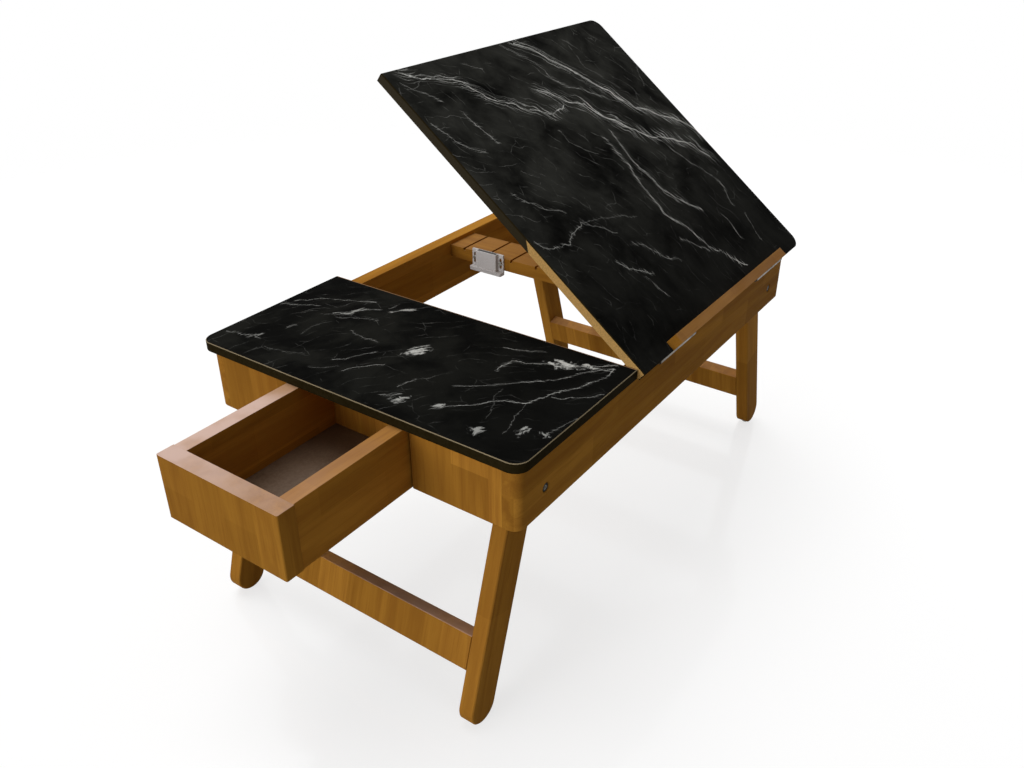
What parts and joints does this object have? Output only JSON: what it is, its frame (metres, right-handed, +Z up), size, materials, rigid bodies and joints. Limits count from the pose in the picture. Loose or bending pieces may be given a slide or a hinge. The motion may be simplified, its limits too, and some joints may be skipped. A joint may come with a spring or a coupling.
{
  "type": "laptop stand with drawer",
  "caption": "Folding lap table with a side drawer and a laptop panel that tilts on hinges, propped by a wire bail on a grooved bar, on two swing-out leg frames.",
  "frame": {"origin": "middle of the box round the whole stand as it stands opened, on the floor", "axes": "+X along the table from the drawer end to the far end, +Y across it from the hinge rail to the back rail, +Z up"},
  "size_m": [0.7198, 0.3692, 0.4816],
  "materials": {
    "wood": "honey-brown lacquered finger-jointed wood",
    "board_core": "raw pressed board",
    "drawer_base": "grey-brown thin board",
    "edge_band": "dark glossy banding",
    "marble_laminate": "black laminate with white marble veins",
    "hinge_steel": "plated steel",
    "screw_steel": "bright plated steel",
    "pivot_steel": "zinc-plated steel",
    "catch_plastic": "light grey moulded plastic",
    "catch_magnet": "dark ferrite between steel poles",
    "glide_plastic": "grey moulded plastic"
  },
  "bodies": {
    "table": {"front_rail": "wood", "back_rail": "wood", "end_board_drawer_front": "wood", "end_board_drawer_back": "wood", "end_board_far": "wood", "fixed_top_core": "board_core", "fixed_top_edge_band": "edge_band", "fixed_top_laminate": "marble_laminate", "drawer_guide_front": "wood", "drawer_guide_back": "wood", "drawer_runner_front": "wood", "drawer_runner_back": "wood", "drawer_stop_rail": "wood", "bay_rail": "wood", "grooved_bar": "wood", "hinge_rail_leaves": "hinge_steel", "hinge_pins": "hinge_steel", "hinge_rail_screws": "screw_steel", "catch_body": "catch_plastic", "catch_magnet": "catch_magnet", "catch_screws": "screw_steel", "pivot_bolts": "pivot_steel", "pivot_washers": "pivot_steel", "pivot_nuts": "pivot_steel"},
    "laptop_panel": {"panel_core": "board_core", "panel_edge_band": "edge_band", "panel_laminate": "marble_laminate", "book_lip": "wood", "hinge_panel_leaves": "hinge_steel", "hinge_panel_screws": "screw_steel", "strike_plate": "hinge_steel", "bail_clips": "hinge_steel", "bail_clip_screws": "screw_steel"},
    "bail": {"prop_bail": "hinge_steel"},
    "drawer": {"drawer_front": "wood", "drawer_side_front": "wood", "drawer_side_back": "wood", "drawer_back": "wood", "drawer_bottom": "drawer_base", "drawer_stop_block": "wood"},
    "drawer_end_legs": {"drawer_end_leg_front": "wood", "drawer_end_leg_back": "wood", "drawer_end_stretcher": "wood", "drawer_end_glides": "glide_plastic"},
    "far_end_legs": {"far_end_leg_front": "wood", "far_end_leg_back": "wood", "far_end_stretcher": "wood", "far_end_glides": "glide_plastic"}
  },
  "joints": [
    {"name": "drawer_slide", "type": "slide", "parent": "table", "child": "drawer", "axis": [1, 0, 0], "range_m": [0, 0.138]},
    {"name": "panel_tilt", "type": "hinge", "parent": "table", "child": "laptop_panel", "pos_m": [0.13812, -0.16965, 0.255], "axis": [1, 0, 0], "range_deg": [-37.8, 12]},
    {"name": "bail_fold", "type": "hinge", "parent": "laptop_panel", "child": "bail", "pos_m": [0.13792, -0.07973, 0.32475], "axis": [1, 0, 0], "range_deg": [-24, 75.6]},
    {"name": "drawer_end_legs_fold", "type": "hinge", "parent": "table", "child": "drawer_end_legs", "pos_m": [-0.18294, 0.00655, 0.22005], "axis": [0, -1, 0], "range_deg": [0, 107.4]},
    {"name": "far_end_legs_fold", "type": "hinge", "parent": "table", "child": "far_end_legs", "pos_m": [0.28059, 0.00655, 0.22005], "axis": [0, 1, 0], "range_deg": [0, 104.4]}
  ],
  "couplings": [
    {"joint": "bail_fold", "follows": "panel_tilt", "ratio": -2}
  ]
}
